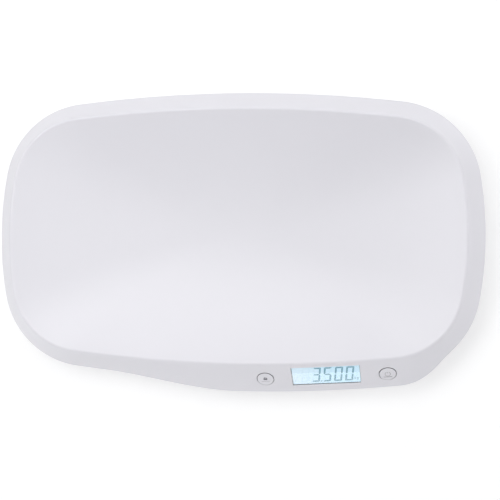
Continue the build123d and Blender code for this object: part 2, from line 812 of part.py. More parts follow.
# ---------------------------------------------------------------- write every piece
save("upper_shell", upper_shell())
save("lower_shell", lower_shell())
save("shell_screws", shell_screws())
save("battery_door", battery_door())
for number, (row_y, row_way) in enumerate(battery_rows(), start=1):
    save(f"battery_{number}", battery(row_y, row_way))
save("contact_plates", contact_plates())
save("contact_springs", contact_springs())
save("display_window", display_window())
save("display_gasket", display_gasket())
save("display_panel", display_panel())
save("display_backlight", backlight())
save("display_holder", display_holder())
save("contact_strip", contact_strip())
save("main_board", main_board())
save("board_screws", board_screws())
save("board_chips", board_chips())
save("board_connectors", board_connectors())
save("buzzer", buzzer())
for name, side in (("hold", -1), ("power", 1)):
    save(f"{name}_button", button(side))
    save(f"{name}_switch", tact_switch(side))
    save(f"{name}_plunger", switch_plunger(side))
save("battery_lead", battery_lead())
for x, y in foot_spots:
    place = ("left" if x < 0 else "right") + ("_front" if y < 0 else "_back")
    save(f"load_cell_{place}", load_cell(x, y))
    save(f"load_tongue_{place}", load_tongue(x, y))
    save(f"foot_cup_{place}", foot_cup(x, y))
    save(f"foot_pad_{place}", foot_pad(x, y))
    save(f"foot_screw_{place}", foot_screw(x, y))
    save(f"cell_lead_{place}", cell_lead(x, y, place))
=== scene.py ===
"""Looks of a digital baby weighing scale, built around its fixed CAD frame.

Metres, +Z up. The file is laid out as an add-on: property groups hold the sizes and colours,
each operator makes or finishes one group of pieces, and a sidebar panel lists the operators.
"""
from math import asin, atan2, cos, hypot, pi, radians, sin, sqrt, tan

import bmesh
import bpy
from bpy.props import FloatProperty, FloatVectorProperty, IntProperty, PointerProperty
from bpy.types import Operator, Panel, PropertyGroup
from mathutils import Matrix, Vector


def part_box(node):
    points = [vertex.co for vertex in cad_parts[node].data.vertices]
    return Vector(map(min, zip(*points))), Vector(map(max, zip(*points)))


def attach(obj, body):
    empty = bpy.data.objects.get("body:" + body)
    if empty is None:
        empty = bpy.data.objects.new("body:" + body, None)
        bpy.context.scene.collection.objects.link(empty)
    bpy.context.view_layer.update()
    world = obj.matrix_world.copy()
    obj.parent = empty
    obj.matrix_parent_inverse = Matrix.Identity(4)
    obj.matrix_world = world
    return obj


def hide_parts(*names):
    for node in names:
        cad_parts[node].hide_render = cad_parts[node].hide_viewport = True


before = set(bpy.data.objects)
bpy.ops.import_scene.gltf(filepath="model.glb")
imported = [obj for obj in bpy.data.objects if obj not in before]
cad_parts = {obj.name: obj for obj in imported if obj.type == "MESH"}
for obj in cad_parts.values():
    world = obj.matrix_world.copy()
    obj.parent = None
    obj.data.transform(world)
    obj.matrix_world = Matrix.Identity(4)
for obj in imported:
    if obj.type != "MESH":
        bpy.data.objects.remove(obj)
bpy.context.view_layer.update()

bl_info = {
    "name": "Baby weighing scale",
    "version": (1, 0, 0),
    "blender": (4, 5, 0),
    "location": "View3D > Sidebar > Scale",
    "description": "Builds the looks of a digital baby weighing scale around its CAD frame",
    "category": "Object",
}

# ---------------------------------------------------------------- the frame's own lines
MIDDLE_Y = 0.00665             # the tray's middle
HALF_LENGTH = 0.256            # of the rim's crest
HALF_WIDTH = 0.1415
SIDE_BOW = 1.515               # radius of the long sides
END_BOW = 0.377                # radius of the ends
CORNER = 0.079
RIM_Z = 0.062
PARTING_Z = 0.035
SKIRT_OUT = 0.0195             # the skirt slopes outwards by this much
PANEL_OUT = 0.0133             # and the control panel by this much more
PANEL_RAMP = (-0.150, 0.006)   # x between which the panel grows out
PANEL_MERGE = radians(315)     # where it dies into the front right corner
PANEL_X = 0.104                # middle of the display
PANEL_DROP = 0.019             # the same, down the slope from the crest
DISH_DEPTH = 0.032
WINDOW = (0.0754, 0.0270)      # opening in the panel
WINDOW_PLUG = (0.0752, 0.0268)
WINDOW_FLANGE = (0.0794, 0.0310)
WINDOW_SINK = 0.0009           # depths are below the panel's face
FLANGE_FRONT = 0.0038
FLANGE_BACK = 0.0050
DISPLAY = (0.0726, 0.0242)     # the display, behind the window
DISPLAY_PLATE = (0.0744, 0.0260)   # its front plate
DISPLAY_SHIFT = 0.0001         # of the front plate, to the right and up
DISPLAY_FRONT = 0.0019
DISPLAY_STEP = 0.0025
DISPLAY_BACK = 0.0041
KEY_OFFSET = 0.0673            # each key, from the display's middle
KEY_LOWER = 0.002
KEY_RADIUS = 0.009
KEY_HOLE = 0.0096              # radius of the hole in the panel
KEY_STEM = (0.0025, 0.0067)    # radius, and the depth of its end
KEY_FLANGE = (0.0112, 0.0051, 0.0039)  # radius, and the depths of its underside and its top
SLEEVE_BANDS = (-0.0795, -0.0405)  # each battery has its copper band beyond one of these x
FEET = ("left_front", "left_back", "right_front", "right_back")


# ---------------------------------------------------------------- colours
def shown(red, green, blue):
    """Scene colour of a tone that is given as it shows on a screen, from 0 to 255."""
    levels = [level / 255 for level in (red, green, blue)]
    return tuple(v / 12.92 if v <= 0.04045 else ((v + 0.055) / 1.055) ** 2.4 for v in levels)


def colour_property(name, description, tone):
    return FloatVectorProperty(name=name, description=description, subtype="COLOR", size=3,
                               min=0, max=1, default=shown(*tone))


def length_property(name, description, metres):
    return FloatProperty(name=name, description=description, default=metres, min=0,
                         subtype="DISTANCE", unit="LENGTH", precision=5)


class ScaleSizes(PropertyGroup):
    """Sizes of the details that the CAD frame leaves plain."""

    crest_round: length_property("Crest rounding", "How far the crest is rounded on each side", 0.0024)
    skirt_wall: length_property("Wall", "Thickness of the upper shell", 0.0028)
    hem_round: length_property("Hem rounding", "Rounding of the skirt's lower edge", 0.0004)
    window_round: length_property("Window rounding", "Rounding of the panel around the window", 0.0003)
    hole_round: length_property("Hole rounding", "Rounding of the panel around each key", 0.0005)
    key_round: length_property("Key rounding", "Rounding of a key's edge", 0.0002)
    key_rise: length_property("Key rise", "How far a key's edge stands out of the panel", 0.00035)
    key_crown: length_property("Key crown", "How much higher a key is in its middle", 0.00025)
    digit_height: length_property("Digit height", "Height of a digit on the display", 0.0215)
    digit_width: length_property("Digit width", "Width of a digit on the display", 0.0088)
    digit_pitch: length_property("Digit pitch", "From one digit to the next", 0.01215)
    stroke: length_property("Stroke", "Width of a digit's segments", 0.0020)
    slant: FloatProperty(name="Slant", description="How far the digits lean to the right",
                         default=radians(8.5), subtype="ANGLE", unit="ROTATION")
    print_height: length_property("Print height", "Thickness of printed and etched marks", 0.00003)
    dish_rings: IntProperty(name="Dish rings", default=44, min=8, max=120,
                            description="Rings of faces between the rim and the dish's middle")


class ScaleColours(PropertyGroup):
    """Colours of the finished scale."""

    shell: colour_property("Shell", "White plastic of both shells", (229, 228, 234))
    key: colour_property("Keys", "White plastic of the two keys", (227, 226, 232))
    # painted shade: the grey on each key's side stands in for the shade in the groove around the key
    key_side_shade: colour_property("Key side shade", "Grey painted shade on the side of each key", (96, 96, 101))
    door: colour_property("Door", "White plastic of the battery door", (225, 224, 230))
    backlight: colour_property("Backlight", "Lit display", (192, 224, 241))
    backlight_pale: colour_property("Backlight, pale", "Lit display at its whitest", (204, 226, 240))
    digit: colour_property("Digits", "Dark segments of the display", (87, 146, 169))
    idle: colour_property("Idle segments", "Segments that are off", (186, 220, 237))
    idle_pale: colour_property("Idle segments, pale", "The same at their whitest", (198, 221, 235))
    ink: colour_property("Ink", "Printed marks on the keys", (120, 120, 128))
    rubber: colour_property("Rubber", "Foot pads", (82, 82, 87))


class StageSettings(PropertyGroup):
    """Floor, lamps and camera."""

    floor_size: length_property("Floor size", "Length of each side of the floor", 1.8)
    lamp_level: FloatProperty(name="Lamps", description="Level of all the lamps together",
                              default=1.0, min=0)
    sky_strength: FloatProperty(name="Surroundings", description="Light from the white surroundings",
                                default=0.2, min=0)
    lens: FloatProperty(name="Lens", description="Focal length of the camera", default=78.23, min=1,
                        subtype="DISTANCE_CAMERA")


# ---------------------------------------------------------------- materials
class Link:
    """One output of a node. Arithmetic on it adds Math nodes to the same tree."""

    def __init__(self, nodes, socket):
        self.nodes = nodes
        self.socket = socket

    def maths(self, operation, *terms):
        return self.nodes.node("ShaderNodeMath", {"operation": operation}, dict(enumerate(terms)))

    def __add__(self, other):
        return self.maths("ADD", self, other)

    def __radd__(self, other):
        return self.maths("ADD", other, self)

    def __sub__(self, other):
        return self.maths("SUBTRACT", self, other)

    def __rsub__(self, other):
        return self.maths("SUBTRACT", other, self)

    def __mul__(self, other):
        return self.maths("MULTIPLY", self, other)

    def __rmul__(self, other):
        return self.maths("MULTIPLY", other, self)

    def __gt__(self, other):
        return self.maths("GREATER_THAN", self, other)

    def __lt__(self, other):
        return self.maths("LESS_THAN", self, other)


class Nodes:
    """The nodes of a material or of the surroundings."""

    def __init__(self, owner):
        owner.use_nodes = True
        self.tree = owner.node_tree
        self.tree.nodes.clear()

    def node(self, kind, settings, inputs, output=0):
        """Add a node: first its settings, then a value or a link for each socket."""
        made = self.tree.nodes.new(kind)
        for name, value in settings.items():
            setattr(made, name, value)
        for name, value in inputs.items():
            if isinstance(value, Link):
                self.tree.links.new(value.socket, made.inputs[name])
            elif made.inputs[name].type == "RGBA" and len(value) == 3:
                made.inputs[name].default_value = (*value, 1)
            else:
                made.inputs[name].default_value = value
        return None if output is None else Link(self, made.outputs[output])

    def rays(self):
        """Whether a ray comes straight from the camera, off a glossy surface or through a clear one."""
        return [self.node("ShaderNodeLightPath", {}, {}, ray)
                for ray in ("Is Camera Ray", "Is Glossy Ray", "Is Transmission Ray")]

    def clamped(self, value):
        return self.node("ShaderNodeClamp", {}, {"Value": value})

    def mixed(self, share, first, second):
        """Shader between two others."""
        return self.node("ShaderNodeMixShader", {}, {0: share, 1: first, 2: second})


class Finish(Nodes):
    """A material on object coordinates, built node by node around one shader."""

    def __init__(self, name, **settings):
        self.material = bpy.data.materials.new(name)
        super().__init__(self.material)
        self.shader = self.node("ShaderNodeBsdfPrincipled", {}, settings)
        self.node("ShaderNodeOutputMaterial", {}, {"Surface": self.shader}, None)
        self.place = self.node("ShaderNodeTexCoord", {}, {}, "Object")

    def feed(self, **sockets):
        """Link values that change over the surface to the shader."""
        for name, value in sockets.items():
            self.tree.links.new(value.socket, self.shader.socket.node.inputs[name.replace("_", " ")])

    def show(self, shader):
        """Let the material show another shader than its first one."""
        output = self.tree.get_output_node("ALL")
        self.tree.links.new(shader.socket, output.inputs["Surface"])

    def noise(self, scale, detail=2.0, place=None):
        inputs = {"Vector": place or self.place, "Scale": scale, "Detail": detail}
        return self.node("ShaderNodeTexNoise", {}, inputs)

    def stretched(self, x, y, z):
        """Object coordinates, scaled along each axis."""
        return self.node("ShaderNodeMapping", {}, {"Vector": self.place, "Scale": (x, y, z)})

    def along(self, axis):
        """One of the object's coordinates, in metres."""
        return self.node("ShaderNodeSeparateXYZ", {}, {"Vector": self.place}, axis)

    def blend(self, share, first, second):
        """Colour between two others."""
        return self.node("ShaderNodeMix", {"data_type": "RGBA"}, {0: share, 6: first, 7: second}, 2)

    def shade(self, colour, spread, pattern):
        """A colour that grows a little darker where a pattern is low."""
        return self.blend(pattern, [level * (1 - spread) for level in colour], colour)

    def soft_edges(self, radius):
        return self.node("ShaderNodeBevel", {"samples": 4}, {"Radius": radius})

    def bump(self, height, strength, distance, edges=None):
        inputs = {"Height": height, "Strength": strength, "Distance": distance}
        if edges:
            inputs["Normal"] = edges
        return self.node("ShaderNodeBump", {}, inputs)


def moulded(name, colour, roughness, grain=2600.0, relief=0.12, spread=0.02, edge=0.0):
    """Moulded plastic with a fine eroded grain."""
    finish = Finish(name, **{"IOR": 1.5, "Specular IOR Level": 0.5})
    fine = finish.noise(grain, 3.0)
    broad = finish.noise(14.0)
    edges = finish.soft_edges(edge) if edge else None
    finish.feed(Base_Color=finish.shade(colour, spread, broad),
                Roughness=roughness + (fine - 0.5) * 0.06 + (broad - 0.5) * 0.04,
                Normal=finish.bump(fine, relief, 0.00006, edges))
    return finish.material


def rubber(name, colour, roughness, grain=1500.0):
    """Matt rubber or foam with a coarse skin and pale dust in it."""
    finish = Finish(name, IOR=1.45)
    skin = finish.noise(grain, 4.0)
    dust = finish.noise(160.0, 3.0)
    finish.feed(Base_Color=finish.blend(dust * 0.16, colour, [level * 1.7 + 0.02 for level in colour]),
                Roughness=roughness + (skin - 0.5) * 0.16,
                Normal=finish.bump(skin, 0.3, 0.00012, finish.soft_edges(0.0003)))
    return finish.material


def metal(name, colour, roughness, brushing=(60.0, 3000.0, 3000.0)):
    """Metal with fine lines: brushing says how close they are along each axis."""
    finish = Finish(name, Metallic=1.0)
    lines = finish.noise(1.0, 3.0, finish.stretched(*brushing))
    stain = finish.noise(90.0, 3.0)
    finish.feed(Base_Color=finish.shade(colour, 0.18, lines),
                Roughness=roughness + (lines - 0.5) * 0.14 + (stain - 0.5) * 0.08,
                Normal=finish.bump(lines, 0.12, 0.00004, finish.soft_edges(0.00015)))
    return finish.material


def circuit_board():
    """Green solder mask over copper tracks, with tinned spots."""
    finish = Finish("circuit_board", IOR=1.52)
    grid = finish.stretched(420.0, 420.0, 420.0)
    cells = finish.node("ShaderNodeTexVoronoi", {"feature": "DISTANCE_TO_EDGE"},
                        {"Vector": grid, "Scale": 1.0})
    tracks = cells < 0.08
    spots = finish.node("ShaderNodeTexVoronoi", {}, {"Vector": grid, "Scale": 0.9}) < 0.12
    mask = finish.blend(tracks, shown(24, 92, 48), shown(50, 132, 70))
    finish.feed(Base_Color=finish.blend(spots, mask, shown(196, 196, 192)),
                Metallic=spots * 0.9,
                Roughness=0.38 - spots * 0.12,
                Normal=finish.bump(tracks + spots, 0.2, 0.00004, finish.soft_edges(0.0002)))
    return finish.material


def battery_sleeve():
    """Printed shrink sleeve of an unnamed cell: dark body and a copper band at one end."""
    finish = Finish("battery_sleeve", IOR=1.5, **{"Coat Weight": 0.3, "Coat Roughness": 0.12})
    x = finish.along("X")
    wrinkle = finish.noise(220.0, 3.0, finish.stretched(0.3, 1.0, 1.0))
    band = finish.clamped((x > SLEEVE_BANDS[1]) + (x < SLEEVE_BANDS[0]))
    finish.feed(Base_Color=finish.blend(band, shown(60, 63, 70), shown(176, 122, 78)),
                Metallic=0.25 + band * 0.5,
                Roughness=0.3 + (wrinkle - 0.5) * 0.2,
                Normal=finish.bump(wrinkle, 0.15, 0.0001, finish.soft_edges(0.0003)))
    return finish.material


def clear_plastic():
    """Clear window with a faint haze."""
    finish = Finish("clear_window", **{"Base Color": (0.985, 0.995, 1.0), "IOR": 1.46,
                                       "Transmission Weight": 1.0})
    haze = finish.noise(30.0)
    finish.feed(Roughness=0.004 + haze * 0.01)
    return finish.material


def lit_face(name, tone, pale):
    """Glowing face of the display: whiter towards its left end, with a soft blotch or two."""
    finish = Finish(name, **{"Base Color": (0.02, 0.025, 0.03), "Roughness": 0.35,
                             "Emission Strength": 1.0})
    start, length = PANEL_X - 0.036, 0.045
    across = (finish.along("X") - start) * (1 / length)
    blotch = finish.noise(55.0)
    finish.feed(Emission_Color=finish.blend(finish.clamped(across + (blotch - 0.5) * 0.7), pale, tone))
    return finish.material


def segment_finish(name, tone):
    """Liquid crystal segment, lit from behind."""
    finish = Finish(name, **{"Base Color": (0.02, 0.02, 0.022), "Roughness": 0.4,
                             "Emission Strength": 1.0})
    mottle = finish.noise(900.0)
    finish.feed(Emission_Color=finish.shade(tone, 0.1, mottle))
    return finish.material


def ink_finish(name, tone):
    """Pad-printed ink."""
    finish = Finish(name, IOR=1.48)
    fleck = finish.noise(5000.0)
    finish.feed(Base_Color=finish.shade(tone, 0.1, fleck), Roughness=0.45 + (fleck - 0.5) * 0.1)
    return finish.material


# ---------------------------------------------------------------- finishes on CAD nodes
def finish_node(name, material):
    """Give a CAD node its finish."""
    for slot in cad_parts[name].material_slots:
        slot.material = material


def finish_slot(slot_name, material):
    """Give every CAD node of one material slot its finish."""
    found = [name for name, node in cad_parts.items()
             if any(slot.material and slot.material.name == slot_name for slot in node.material_slots)]
    if not found:
        raise RuntimeError(f"no piece uses the slot {slot_name}")
    for name in found:
        finish_node(name, material)


# ---------------------------------------------------------------- modelling helpers
def add_primitive(adder, name, **settings):
    """Add a primitive while nothing else is selected."""
    bpy.ops.object.select_all(action="DESELECT")
    adder(**settings)
    piece = bpy.context.object
    piece.name = name
    piece.data.name = name
    return piece


def take(piece):
    """Make one piece the active one, with nothing else selected."""
    bpy.ops.object.select_all(action="DESELECT")
    bpy.context.view_layer.objects.active = piece
    piece.select_set(True)


def edit(piece):
    """Enter edit mode on one piece, with all of it selected."""
    take(piece)
    bpy.ops.object.mode_set(mode="EDIT")
    bpy.ops.mesh.select_all(action="SELECT")


def leave_edit(faces_out=False):
    """Leave edit mode, with all the faces turned outwards where that is asked."""
    if faces_out:
        bpy.ops.mesh.select_all(action="SELECT")
        bpy.ops.mesh.normals_make_consistent(inside=False)
    bpy.ops.object.mode_set(mode="OBJECT")


def pick(piece, kind, test):
    """Select the vertices, edges or faces that pass a test, and nothing else."""
    bpy.ops.mesh.select_mode(type=kind)
    bpy.ops.mesh.select_all(action="DESELECT")
    work = bmesh.from_edit_mesh(piece.data)
    elements = {"VERT": work.verts, "EDGE": work.edges, "FACE": work.faces}[kind]
    found = [element for element in elements if test(element)]
    for element in found:
        element.select_set(True)
    work.select_flush_mode()
    bmesh.update_edit_mesh(piece.data)
    if not found:
        raise RuntimeError(f"nothing to select on {piece.name}")


def draw_out(scale=(1, 1, 1), shift=(0, 0, 0), centre=(0, 0, 0)):
    """Extrude what is selected, then resize and move the new part."""
    bpy.ops.mesh.extrude_region_move(TRANSFORM_OT_translate={"value": (0, 0, 0)})
    bpy.ops.transform.resize(value=scale, center_override=centre)
    bpy.ops.transform.translate(value=shift)


def ring_by_ring(size, profile):
    """Draw the selected outline out along z, by pairs of how much larger it is and its height."""
    out, height = profile[0]
    for new_out, new_height in profile[1:]:
        scale = [(length + 2 * new_out) / (length + 2 * out) for length in size]
        draw_out((*scale, 1), (0, 0, new_height - height))
        out, height = new_out, new_height


def block(name, size, profile, columns=1, rows=1):
    """A block about the z axis, drawn out from a flat grid: (how much larger, height) pairs."""
    piece = add_primitive(bpy.ops.mesh.primitive_grid_add, name, x_subdivisions=columns,
                          y_subdivisions=rows, size=1)
    edit(piece)
    bpy.ops.transform.resize(value=(*size, 1), center_override=(0, 0, 0))
    bpy.ops.transform.translate(value=(0, 0, profile[0][1]))
    ring_by_ring(size, profile)
    leave_edit(faces_out=True)
    return piece


def turned(name, profile, sides=96):
    """A round piece about the z axis, drawn out ring by ring from a disc: (radius, height) pairs."""
    radius, height = profile[0]
    piece = add_primitive(bpy.ops.mesh.primitive_circle_add, name, vertices=sides, radius=radius,
                          fill_type="NGON")
    edit(piece)
    bpy.ops.transform.translate(value=(0, 0, height))
    for new_radius, new_height in profile[1:]:
        ratio = new_radius / radius
        draw_out((ratio, ratio, 1), (0, 0, new_height - height))
        radius, height = new_radius, new_height
    leave_edit(faces_out=True)
    return piece


def apply_modifier(piece, kind, **settings):
    take(piece)
    modifier = piece.modifiers.new(kind.title(), kind)
    for name, value in settings.items():
        setattr(modifier, name, value)
    bpy.ops.object.modifier_apply(modifier=modifier.name)


def cut_out(piece, cutter):
    """Cut one piece out of another, and drop the cutter."""
    apply_modifier(piece, "BOOLEAN", operation="DIFFERENCE", solver="EXACT", object=cutter)
    bpy.data.objects.remove(cutter)


def smooth(piece, angle=32):
    """Shade a piece smooth, but leave edges sharp that are steeper than an angle in degrees."""
    take(piece)
    bpy.ops.object.shade_smooth_by_angle(angle=radians(angle))


def copied(piece, name, matrix):
    """A copy with its own mesh, put in place in that mesh."""
    copy = piece.copy()
    copy.data = piece.data.copy()
    copy.name = name
    copy.data.name = name
    copy.data.transform(matrix)
    bpy.context.scene.collection.objects.link(copy)
    return copy


def joined(name, pieces):
    """Several pieces made one."""
    bpy.ops.object.select_all(action="DESELECT")
    for piece in pieces:
        piece.select_set(True)
    bpy.context.view_layer.objects.active = pieces[0]
    bpy.ops.object.join()
    pieces[0].name = name
    pieces[0].data.name = name
    return pieces[0]


def finished(piece, body, material, slot, *nodes):
    """Give a piece its finish, let it ride on a body and stand for CAD nodes."""
    piece.data.materials.clear()
    piece.data.materials.append(material)
    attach(piece, body)
    if nodes:
        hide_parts(*nodes)


# ---------------------------------------------------------------- lines of the rim and the panel
def corner_centre():
    """Centre of the corner arc that is tangent to a long side and to an end."""
    side_y = HALF_WIDTH - SIDE_BOW
    end_x = HALF_LENGTH - END_BOW
    apart = hypot(end_x, side_y)
    reach_side = SIDE_BOW - CORNER
    reach_end = END_BOW - CORNER
    along = (apart**2 + reach_side**2 - reach_end**2) / (2 * apart)
    across = sqrt(reach_side**2 - along**2)
    return (end_x * along - side_y * across) / apart, side_y + (-side_y * along - end_x * across) / apart


def spot(centre, radius, angle):
    return Vector((centre[0] + radius * cos(angle), centre[1] + radius * sin(angle), 0))


def arc(centre, radius, start, end, count):
    """Points along an arc, without its last one."""
    return [spot(centre, radius, start + (end - start) * i / count) for i in range(count)]


def easing(first, first_angle, last, last_angle, count):
    """Points of a curve that leaves and meets its neighbours along their tangents."""
    chord = (last - first).length
    leave = spot((0, 0), chord, first_angle + pi / 2)
    meet = spot((0, 0), chord, last_angle + pi / 2)
    points = []
    for i in range(count):
        t = i / count
        points.append(first * (2 * t**3 - 3 * t**2 + 1) + leave * (t**3 - 2 * t**2 + t)
                      + last * (3 * t**2 - 2 * t**3) + meet * (t**3 - t**2))
    return points


def rim_line(grow, reach, height):
    """The rim's outline, moved outwards, with the control panel standing out by a reach."""
    cx, cy = corner_centre()
    end = atan2(cy, cx - HALF_LENGTH + END_BOW)
    side = atan2(cy - HALF_WIDTH + SIDE_BOW, cx)
    right, left = (HALF_LENGTH - END_BOW, 0), (END_BOW - HALF_LENGTH, 0)
    back, front = (0, HALF_WIDTH - SIDE_BOW), (0, SIDE_BOW - HALF_WIDTH)
    ends, corners, sides = END_BOW + grow, CORNER + grow, SIDE_BOW + grow
    ramp = [1.5 * pi + asin(x / SIDE_BOW) for x in PANEL_RAMP]
    last = 2 * pi - side
    line = arc(right, ends, -end, end, 48)
    line += arc((cx, cy), corners, end, side, 36)
    line += arc(back, sides, side, pi - side, 88)
    line += arc((-cx, cy), corners, pi - side, pi - end, 36)
    line += arc(left, ends, pi - end, pi + end, 48)
    line += arc((-cx, -cy), corners, pi + end, pi + side, 36)
    line += arc(front, sides, pi + side, ramp[0], 12)
    line += easing(spot(front, sides, ramp[0]), ramp[0],
                   spot(front, sides + reach, ramp[1]), ramp[1], 44)
    line += arc(front, sides + reach, ramp[1], last, 46)
    line += easing(spot(front, sides + reach, last), last,
                   spot((cx, -cy), corners, PANEL_MERGE), PANEL_MERGE, 22)
    line += arc((cx, -cy), corners, PANEL_MERGE, 2 * pi - end, 18)
    return [point + Vector((0, MIDDLE_Y, height)) for point in line]


def panel_matrix():
    """The control panel's own frame at the display: z outwards and y up the slope."""
    slope = hypot(SKIRT_OUT + PANEL_OUT, RIM_Z - PARTING_Z)
    level = (SKIRT_OUT + PANEL_OUT) / slope
    fall = (RIM_Z - PARTING_Z) / slope
    radius = SIDE_BOW + PANEL_DROP * level
    turn = asin(PANEL_X / radius)
    x_axis = Vector((cos(turn), sin(turn), 0))
    z_axis = Vector((fall * sin(turn), -fall * cos(turn), level))
    y_axis = z_axis.cross(x_axis)
    origin = Vector((PANEL_X, SIDE_BOW - HALF_WIDTH - radius * cos(turn) + MIDDLE_Y,
                     RIM_Z - PANEL_DROP * fall))
    matrix = Matrix((x_axis, y_axis, z_axis)).transposed().to_4x4()
    matrix.translation = origin
    return matrix


PANEL = panel_matrix()


def panel_rise(x, y):
    """Height of the bowed panel's face over its flat frame, found in a few steps of Newton's method."""
    spread = (SKIRT_OUT + PANEL_OUT) / (RIM_Z - PARTING_Z)
    rise = 0.0
    for _ in range(6):
        point = PANEL @ Vector((x, y, rise))
        reach = hypot(point.x, point.y - (SIDE_BOW - HALF_WIDTH + MIDDLE_Y))
        rise += (SIDE_BOW + (RIM_Z - point.z) * spread - reach) / hypot(1, spread)
    return rise


def lie_on_panel(piece, x=0.0, y=0.0, above=-1.0):
    """Move a piece along the panel, give what is above a level the panel's bow, and put it in place."""
    for vertex in piece.data.vertices:
        vertex.co.x += x
        vertex.co.y += y
        if vertex.co.z > above:
            vertex.co.z += panel_rise(vertex.co.x, vertex.co.y)
    piece.data.transform(PANEL)


# ---------------------------------------------------------------- operators
class SCALE_OT_tray(Operator):
    """Model the upper shell: dish, rounded crest, skirt and control panel in one moulding"""

    bl_idname = "scale.tray"
    bl_label = "Upper shell"

    # where the sharp crest lies, inwards of the rim and above it, as shares of its rounding
    CREST_LEAD = (0.205, 0.227)
    TOUCHING = 0.00002             # vertices nearer than this are made one after the cuts

    def execute(self, context):
        sizes = context.scene.scale_sizes
        crest_in, crest_up = [lead * sizes.crest_round for lead in self.CREST_LEAD]
        crest = rim_line(-crest_in, 0, RIM_Z + crest_up)
        hem = rim_line(SKIRT_OUT, PANEL_OUT, PARTING_Z)
        tray = add_primitive(bpy.ops.mesh.primitive_circle_add, "tray_shell", vertices=len(crest),
                             radius=HALF_LENGTH)
        for vertex, point in zip(tray.data.vertices, crest):
            vertex.co = point
        edit(tray)
        self.draw_skirt(tray, crest, hem)
        self.draw_dish(tray, sizes.dish_rings, DISH_DEPTH + crest_up)
        pick(tray, "EDGE", lambda edge: all(abs(v.co.z - RIM_Z - crest_up) < 1e-5 for v in edge.verts))
        bpy.ops.mesh.bevel(offset=sizes.crest_round, segments=7, profile=0.5, affect="EDGES")
        leave_edit(faces_out=True)
        self.face_up(tray)
        apply_modifier(tray, "SOLIDIFY", thickness=sizes.skirt_wall, offset=-1.0, use_even_offset=True)
        self.level_hem(tray, sizes.hem_round)
        self.cut_openings(tray, sizes)
        smooth(tray, 30)
        apply_modifier(tray, "WEIGHTED_NORMAL", keep_sharp=True)
        finished(tray, "housing", moulded("shell_gloss", context.scene.scale_colours.shell, 0.3),
                 "shell_white", "upper_shell")
        return {"FINISHED"}

    def draw_skirt(self, tray, crest, hem):
        """Draw the skirt down from the crest to its hem, and divide it evenly."""
        places = {tuple(round(v, 5) for v in point): target for point, target in zip(crest, hem)}
        bpy.ops.mesh.extrude_region_move(TRANSFORM_OT_translate={"value": (0, 0, 0)})
        work = bmesh.from_edit_mesh(tray.data)
        for vertex in work.verts:
            if vertex.select:
                vertex.co = places[tuple(round(v, 5) for v in vertex.co)]
        bmesh.update_edit_mesh(tray.data)
        pick(tray, "EDGE", lambda edge: abs(edge.verts[0].co.z - edge.verts[1].co.z) > 0.02)
        bpy.ops.mesh.subdivide(number_cuts=7)

    def draw_dish(self, tray, rings, depth):
        """Draw the dish inwards ring by ring: a parabola across, and a cubic along."""
        pick(tray, "EDGE", lambda edge: all(v.co.z > RIM_Z + 0.0001 for v in edge.verts))
        left = 1.0
        for ring in range(1, rings):
            share = (1 - ring / rings) ** 2 / left
            draw_out((share ** (1 / 3), share**0.5, 1), (0, 0, -depth * left * (1 - share)),
                     (0, MIDDLE_Y, 0))
            left *= share
        bpy.ops.mesh.extrude_region_move(TRANSFORM_OT_translate={"value": (0, 0, -depth * left)})
        bpy.ops.mesh.merge(type="CENTER")

    def face_up(self, tray):
        """Turn the surface's faces upwards before its wall gets its thickness."""
        if tray.data.polygons[len(tray.data.polygons) // 2].normal.z < 0:
            edit(tray)
            bpy.ops.mesh.flip_normals()
            leave_edit()

    def level_hem(self, tray, rounding):
        """Level the hem's inner edge, which lies far out, with its outer one, and round that one."""
        edit(tray)
        pick(tray, "VERT", lambda vertex: vertex.co.z < PARTING_Z - 0.0002
             and (abs(vertex.co.x) > 0.2 or abs(vertex.co.y - MIDDLE_Y) > 0.1))
        bpy.ops.transform.resize(value=(1, 1, 0), center_override=(0, 0, PARTING_Z))
        pick(tray, "EDGE", lambda edge: len(edge.link_faces) == 2
             and max(abs(v.co.z - PARTING_Z) for v in edge.verts) < 0.00001
             and min(face.normal.z for face in edge.link_faces) < -0.9
             and max(face.normal.z for face in edge.link_faces) > 0.2)
        bpy.ops.mesh.bevel(offset=rounding, segments=3, profile=0.5, affect="EDGES")
        leave_edit()

    def cut_openings(self, tray, sizes):
        """Cut the window's opening and the keys' holes, each with a rounded mouth."""
        opening = block("window_cutter", WINDOW, self.mouth(sizes.window_round), 25, 9)
        edit(opening)
        pick(opening, "EDGE", lambda edge: abs(edge.verts[0].co.z - edge.verts[1].co.z) > 0.00001
             and all(abs(v.co.x) > 0.037 and abs(v.co.y) > 0.013 for v in edge.verts))
        bpy.ops.mesh.bevel(offset=0.0004, segments=3, affect="EDGES")
        leave_edit()
        lie_on_panel(opening)
        cut_out(tray, opening)
        round_mouth = [(KEY_HOLE + out, height) for out, height in self.mouth(sizes.hole_round)]
        for side in (-1, 1):
            hole = turned("key_cutter", round_mouth)
            lie_on_panel(hole, side * KEY_OFFSET, -KEY_LOWER)
            cut_out(tray, hole)
        edit(tray)
        bpy.ops.mesh.remove_doubles(threshold=self.TOUCHING)
        bpy.ops.mesh.dissolve_degenerate(threshold=self.TOUCHING)
        leave_edit()

    def mouth(self, rounding):
        """Profile of a cutter whose mouth opens in a quarter round: (how much larger, height) pairs."""
        profile = [(0.0, -0.01)]
        for step in range(5):
            angle = radians(18 * step)
            profile.append((rounding * (1 - cos(angle)), rounding * (sin(angle) - 1)))
        out, height = profile[-1]
        clear = out + 0.2 * rounding / tan(radians(18))
        return [*profile, (clear, height + 0.2 * rounding), (clear, 0.004)]


class SCALE_OT_base(Operator):
    """Finish the lower shell"""

    bl_idname = "scale.base"
    bl_label = "Lower shell"

    def execute(self, context):
        white = moulded("base_gloss", context.scene.scale_colours.shell, 0.34, edge=0.0004)
        finish_node("lower_shell", white)
        return {"FINISHED"}


